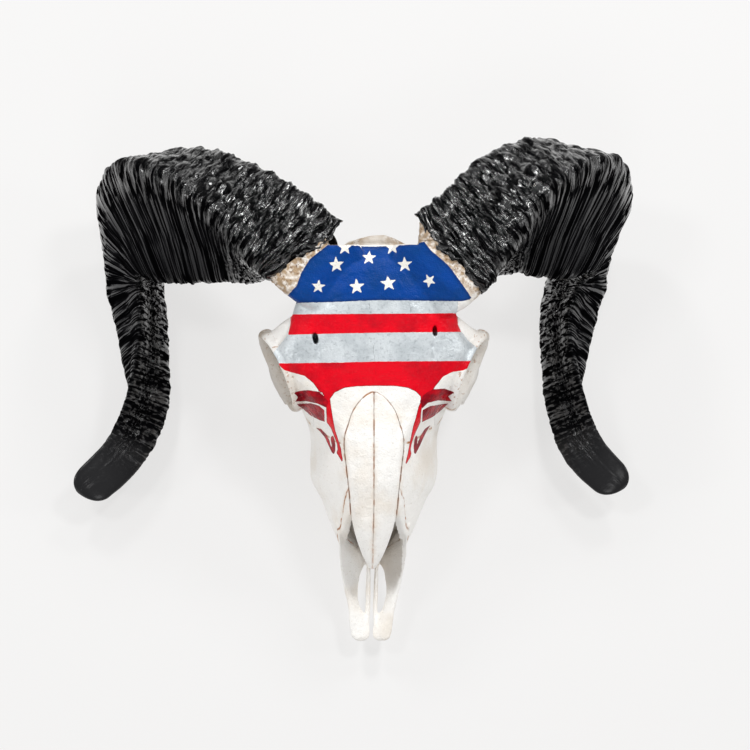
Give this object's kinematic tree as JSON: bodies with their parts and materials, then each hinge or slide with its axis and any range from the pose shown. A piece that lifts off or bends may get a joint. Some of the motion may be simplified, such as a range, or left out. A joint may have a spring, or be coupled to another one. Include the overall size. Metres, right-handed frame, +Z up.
{
  "type": "ram skull with curled horns",
  "caption": "Ram skull without lower jaw, with open nose, ring-shaped orbits, cheek teeth and two ridged horns that curl out, back and forward to blunt tips.",
  "frame": {"origin": "middle of the footprint, on the floor that the cheek teeth and both horns rest on", "axes": "+X to the animal's left, +Y from the nose to the back of the head, +Z up; the nose points to -Y and the forehead looks up and forward"},
  "size_m": [0.3442, 0.3038, 0.1411],
  "materials": {
    "bone": "satin",
    "horn": "gloss"
  },
  "bodies": {
    "root": {"frontal": "bone", "braincase": "bone", "zygomatic_left": "bone", "zygomatic_right": "bone", "nasal_left": "bone", "nasal_right": "bone", "maxilla_left": "bone", "maxilla_right": "bone", "premaxilla_left": "bone", "premaxilla_right": "bone", "vomer": "bone", "horn_left": "horn", "horn_right": "horn"}
  },
  "joints": []
}
